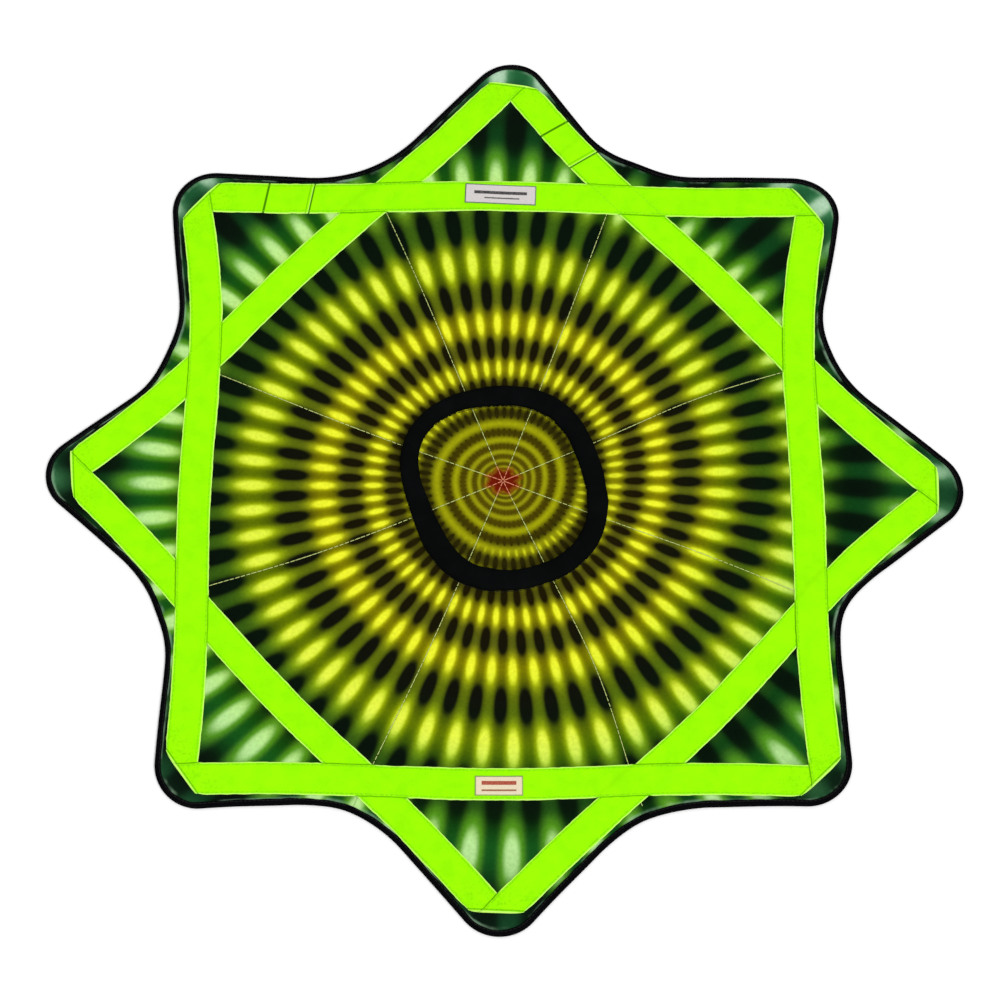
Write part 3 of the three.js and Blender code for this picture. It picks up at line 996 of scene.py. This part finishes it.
def tape_line(spot, upper, q):
    """The parts of one lengthwise line of the tape round a corner: from the middle of one side to the fold,
    the fold, from there to the lap or the middle of the next side, and from the lap to that middle."""
    come, leave = SIDES[spot], SIDES[spot - 2]
    out, past_in, past_out = mitre(spot)

    def steps(start, end, about=None):
        return np.linspace(start, end, int(((about or end) - start) / TAPE_STEP))

    def top_coming(places):
        return tape_top(places, upper) + TAPE_RISE * on_own_arm(spot, places)

    def top_leaving(places):
        return tape_top(places, upper) + TAPE_RISE * on_start(spot, places)

    near = come.length - NEAR
    reach = come.length + past_in(q)
    along = np.concatenate((steps(come.length / 2, near), np.linspace(near, reach, 24)[1:]))
    coming = tape_arm(come, along, q, reach - along, top_coming, spot, upper, False)
    about = LAPS.get(spot, leave.length / 2)
    stop = about + LAP_SLANT * q if spot in LAPS else about
    along = np.concatenate((np.linspace(past_out(q), NEAR, 24), steps(NEAR, stop, about)[1:]))
    if spot in LAPS:
        along = np.insert(along, -1, stop - CUT_STEP)
    from_cut = stop - along if spot in LAPS else NO_CUT
    leaving = tape_arm(leave, along, -q, along - past_out(q), top_leaving, spot, upper, True, from_cut)
    fold = tape_fold(coming[0][-1], leaving[0][0], out, coming[2][-1])
    if spot not in LAPS:
        return [(coming, fold, leaving)]
    along = steps(LAPS[spot] - LAP_UNDER, leave.length / 2)
    along = np.insert(along, 1, along[0] + CUT_STEP)
    start = tape_arm(leave, along, -q, along, lambda places: tape_top(places, upper), spot, upper, True,
                     UNDER_CUT + along - stop)
    return [(coming, fold, leaving), (start,)]


def tape(name, spot, upper, nodes, k):
    """A tape from the middle of one side, round a folded corner, to the middle of the next side."""
    lines = [tape_line(spot, upper, q) for q in TAPE_LINES]
    places, marks, faces = [], [], []
    count = 0
    for strips in zip(*lines):
        first = [np.concatenate([part[0] for part in strip]) for strip in strips]
        second = [np.concatenate([part[1] for part in strip]) for strip in strips]
        mark = [np.concatenate([part[2] for part in strip]) for strip in strips]
        grid = np.stack(first + second[::-1], 1)
        rows, around_tape = grid.shape[:2]
        faces += grid_faces(rows, around_tape, closed_columns=True, first=count)
        if spot in LAPS:
            cut_row = 0 if count else rows - 1
            faces.append(tuple(count + cut_row * around_tape + i for i in range(around_tape)))
        places.append(grid.reshape(-1, 3))
        marks.append(np.stack(mark + mark[::-1], 1).reshape(-1, 5))
        count += rows * around_tape
    places, marks = np.concatenate(places), np.concatenate(marks)
    piece = make(name, places, faces, TAPE_MATERIAL, solid=True, run=marks[:, (0, 1, 1)],
                 rim=marks[:, (2, 3, 4)])
    bend(piece, k)
    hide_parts(*nodes)
    2 * HALF_TAPE * MM
    return piece


STITCH_INSET = 1.5  # from a tape's edge to its row of stitches


def tape_stitches(name, spot, upper, k):
    """Stitches near both edges of a tape's two arms, and along its folded corner."""
    come, leave = SIDES[spot], SIDES[spot - 2]
    out, past_in, past_out = mitre(spot)
    inset = HALF_TAPE - STITCH_INSET
    lines = []
    for inner in (-inset, inset):
        along = np.linspace(come.length / 2, come.length + past_in(inner) - STITCH_INSET * 1.4, 130)
        places = come.place(along, inner)
        lines.append((places, on_own_arm(spot, places)))
        first = max(HALF_TAPE + 1, past_out(-inner) + STITCH_INSET * 1.4)
        places = leave.place(np.linspace(first, leave.length / 2, 130), inner)
        lines.append((places, on_start(spot, places)))
    fold_in = CORNER_FOLD[spot][0]
    half_fold = HALF_TAPE * math.sqrt(2) + fold_in - 2.4 * STITCH_INSET
    side = np.array((out[1], -out[0]))
    from_corner = np.multiply.outer(np.linspace(-half_fold, half_fold, 40), side)
    from_corner = from_corner - out * (fold_in + STITCH_INSET)
    on_top = 1 - smooth(HALF_TAPE - 0.5, HALF_TAPE + 0.5, from_corner @ come.inward)
    lines.append((CORNERS[spot] + from_corner, on_top))
    rows = []
    for places, rise in lines:
        z = tape_top(places, upper) + TAPE_RISE * rise
        rows.append(dict(places=np.concatenate((places, z[:, None]), 1), pitch=3.1, length=2.6, radius=0.2,
                         lift=0.02, jitter=0.1, seed=100 + spot))
    piece = stitches(name, rows, TAPE_THREAD)
    bend(piece, k)
    return piece


# ---------------------------------------------------------------- ring
RING_CENTRE = (1.2, -8.2)
RING_MIDDLE = 62.7
RING_WIDTH = 13.4
# How the ring's middle line and its width swell: (times round, size in mm, turn in degrees).
RING_WAVES = ((2, 3.9, 235), (3, 1.0, 90), (4, 2.0, 241))
WIDTH_WAVES = ((1, 0.8, -70), (2, 1.2, 108), (3, 0.4, -76))
RING_STEPS = 260


def waves(turn, sizes):
    return sum(size * np.cos(n * turn - math.radians(at)) for n, size, at in sizes)


def ring_line(turn):
    """The ring's middle line as it lies, and the way out from it."""
    def radius(t):
        return RING_MIDDLE + waves(t, RING_WAVES)
    r = radius(turn)
    slope = (radius(turn + 1e-4) - radius(turn - 1e-4)) / 2e-4
    x, y = r * np.cos(turn), r * np.sin(turn)
    tangent = np.stack((slope * np.cos(turn) - y, slope * np.sin(turn) + x), -1)
    tangent /= np.linalg.norm(tangent, axis=1)[:, None]
    out = np.stack((tangent[:, 1], -tangent[:, 0]), -1)
    return np.stack((x + RING_CENTRE[0], y + RING_CENTRE[1]), -1), out


def ring_piece(name, width, base, height, material, wrinkled):
    """A padded tube round the ring's line, with a flat foot and a round top."""
    turn = np.linspace(0, 2 * math.pi, RING_STEPS, endpoint=False)
    line, out = ring_line(turn)
    section = np.linspace(0, 2 * math.pi, 36, endpoint=False)
    places, run = [], []
    for a in section:
        across = math.copysign(abs(math.cos(a)) ** 0.8, math.cos(a)) * (width + waves(turn, WIDTH_WAVES)) / 2
        up = math.copysign(abs(math.sin(a)) ** 0.75, math.sin(a)) * height / 2
        place = line + out * across[:, None]
        lift = np.full(RING_STEPS, base + height / 2 + up)
        if wrinkled:
            crown = max(math.sin(a), 0)
            folds = np.sin(turn * 61 + 3 * noise(*line.T, 9, 7)) * noise(*line.T, 4, 8)
            inner = smooth(0.2, 1, -math.cos(a))
            lift = lift + 0.35 * folds * inner * crown + 0.5 * (noise(*line.T, 14, 9) - 0.6) * crown
            tuck = 0.12 * np.sin(turn * 83 + 4 * noise(*line.T, 17, 11))
            tuck = tuck + 0.9 * (noise(*line.T, 9, 15 if math.cos(a) > 0 else 16) - 0.5)
            place = place + out * (tuck * (1 - crown) * math.copysign(1, math.cos(a)))[:, None]
        places.append(np.concatenate((place, lift[:, None]), 1))
        run.append(np.stack((turn * RING_MIDDLE, np.full(RING_STEPS, a * width / 3), turn * 0), -1))
    grid = np.stack(places, 0).reshape(-1, 3)
    grid[:, 2] += relief(grid[:, 0], grid[:, 1])
    faces = grid_faces(len(section), RING_STEPS, closed_rows=True, closed_columns=True)
    piece = make(name, grid, [tuple(reversed(f)) for f in faces], material,
                 run=np.stack(run, 0).reshape(-1, 3))
    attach(piece, "centre")
    return piece


def ring_stitches():
    turn = np.linspace(0, 2 * math.pi, 500)
    line, out = ring_line(turn)
    rows = []
    for side, seed in ((-1, 3), (1, 4)):
        xy = line + out * (side * ((RING_WIDTH + waves(turn, WIDTH_WAVES)) / 2 - 0.35))[:, None]
        z = FACE_TOP + relief(xy[:, 0], xy[:, 1])
        rows.append(dict(places=np.concatenate((xy, z[:, None]), 1), pitch=2.9, length=2.3, radius=0.24,
                         lift=0.1, jitter=0.15, seed=seed))
    piece = stitches("ring_stitching", rows, BLACK_THREAD)
    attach(piece, "centre")
    return piece


# ---------------------------------------------------------------- labels
def label(name, cad_box, centre, turn, material, node, rests_on):
    """A thin woven label lying on the upper tape, its ends raised a little."""
    width = cad_box[1][0] - cad_box[0][0]
    height = cad_box[1][1] - cad_box[0][1]
    u = np.linspace(-width / 2, width / 2, 65)
    v = np.linspace(-height / 2, height / 2, 25)
    gx, gy = np.meshgrid(u, v)
    frayed = 0.12 * (noise(gx, gy, 1.3, 12) - 0.5)
    edge = np.minimum(width / 2 - np.abs(gx), height / 2 - np.abs(gy))
    angle = math.radians(turn)
    x = centre[0] + (gx + frayed) * math.cos(angle) - gy * math.sin(angle)
    y = centre[1] + gx * math.sin(angle) + (gy + frayed) * math.cos(angle)
    z = TAPE_TOP + LABEL + 0.12 + relief(x, y)
    z = z + 0.25 * smooth(0.35, 0.75, np.abs(gx) / width * 2) ** 2 * noise(gx, gy, 9, 13)
    z = z + 0.25 * (noise(gx, gy, 11, 14) - 0.3) - 0.15 * (1 - smooth(0, 0.8, edge))
    grid = np.stack((x, y, z), -1).reshape(-1, 3)
    run = np.stack((gx, gy, edge), -1).reshape(-1, 3)
    piece = make(name, grid, [tuple(reversed(f)) for f in grid_faces(25, 65)], material, run=run)
    thicken(piece, LABEL)
    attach(piece, "centre")
    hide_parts(node)
    width * MM
    height * MM
    return piece


# ---------------------------------------------------------------- the whole cloth
def build():
    for k in POINTS:
        edge = binding(k)
        edge_thread = binding_stitches(k)
        nodes = (f"face_point_{k}", "face_centre")
        cloth_wedge("face", k, FACE_TOP, CLOTH_FACE, nodes, True)
        nodes = (f"backing_point_{k}", "backing_centre")
        cloth_wedge("lining", k, LINING_TOP, CLOTH_LINING, nodes, False)
        seam_stitches(k)
        spot = k - 1
        upper = spot % 2 == 1
        name = "upper_tape" if upper else "lower_tape"
        count = spot // 2 + 1
        sides = (count, count % 4 + 1) if upper else ((count + 2) % 4 + 1, count)
        nodes = [f"{name}_corner_{count}"] + [f"{name}_side_{i}" for i in sides]
        tape(f"{name}_{count}", spot, upper, nodes, k)
        tape_stitches(f"{name}_stitching_{count}", spot, upper, k)


build()

height = RING_BOX[1][2] - FACE_TOP - 1.4
cover = ring_piece("ring_sleeve", RING_WIDTH, FACE_TOP - 0.1, height, RING_FABRIC, True)
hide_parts("ring_cover")
core = ring_piece("ring_filling", RING_WIDTH - 3.2, FACE_TOP + 1.1, height - 2.6, FOAM, False)
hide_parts("ring_core")
ring_stitches()

long_label_material = woven_label("long_label_weave", (214, 208, 206), (60, 90, 50), (
    (-18, -0.2, 36, 2.6, (36, 36, 38)),
    (-11, -3.6, 24, 1.3, (70, 70, 72)),
))
short_label_material = woven_label("short_label_weave", (236, 222, 190), (120, 150, 60), (
    (-11, 0.4, 22, 2.8, (168, 52, 30)),
    (-11, -3.6, 22, 1.4, (150, 84, 50)),
))
label("long_label_piece", LONG_LABEL, (-2.6, 202.6), -2.0, long_label_material, "long_label",
      ["upper_tape_1", "upper_tape_2"])
label("short_label_piece", SHORT_LABEL, (-0.7, -206.9), 0.5, short_label_material, "short_label",
      ["upper_tape_3", "upper_tape_4"])

# ---------------------------------------------------------------- floor, light and camera
FLOOR = 3.0


def floor():
    m = Material("floor", 0.9, 0.0)
    m.set("Base Color", (0.84, 0.84, 0.84, 1))
    corners = [(-FLOOR / MM, -FLOOR / MM, 0), (FLOOR / MM, -FLOOR / MM, 0), (FLOOR / MM, FLOOR / MM, 0),
               (-FLOOR / MM, FLOOR / MM, 0)]
    make("floor", corners, [(0, 1, 2, 3)], m.data)


def lights():
    world = bpy.data.worlds.new("studio")
    bpy.context.scene.world = world
    world.use_nodes = True
    world.node_tree.nodes["Background"].inputs[0].default_value = (1, 1, 1, 1)
    world.node_tree.nodes["Background"].inputs[1].default_value = 0.8
    sun = bpy.data.lights.new("soft_key", "SUN")
    sun.energy = 1.9
    sun.angle = math.radians(40)
    lamp = bpy.data.objects.new("soft_key", sun)
    bpy.context.scene.collection.objects.link(lamp)
    lamp.rotation_euler = Vector((0.45, -0.55, 1)).to_track_quat("Z", "Y").to_euler()


def camera():
    """Looks down at the cloth, 20 degrees off the vertical: a least-squares fit to the photo's outline and
    tape corners, which fixes the distance poorly."""
    tilt, yaw, roll = math.radians(20.07), math.radians(-1.16), math.radians(1.67)
    distance = 1.6868
    aim = Vector((-0.0014, -0.0165, 0))
    turn = Matrix.Rotation(yaw, 3, "Z")
    back = turn @ Vector((0, -math.sin(tilt), math.cos(tilt)))
    up = turn @ Vector((0, math.cos(tilt), math.sin(tilt)))
    right = up.cross(back)
    axes = (
        math.cos(roll) * right + math.sin(roll) * up,
        -math.sin(roll) * right + math.cos(roll) * up,
        back,
    )
    data = bpy.data.cameras.new("camera")
    data.sensor_width = 36
    data.lens = 93.6
    thing = bpy.data.objects.new("camera", data)
    bpy.context.scene.collection.objects.link(thing)
    thing.matrix_world = Matrix.Translation(aim + distance * back) @ Matrix(axes).transposed().to_4x4()
    bpy.context.scene.camera = thing


floor()
lights()
camera()
bpy.context.scene.view_settings.view_transform = "Standard"
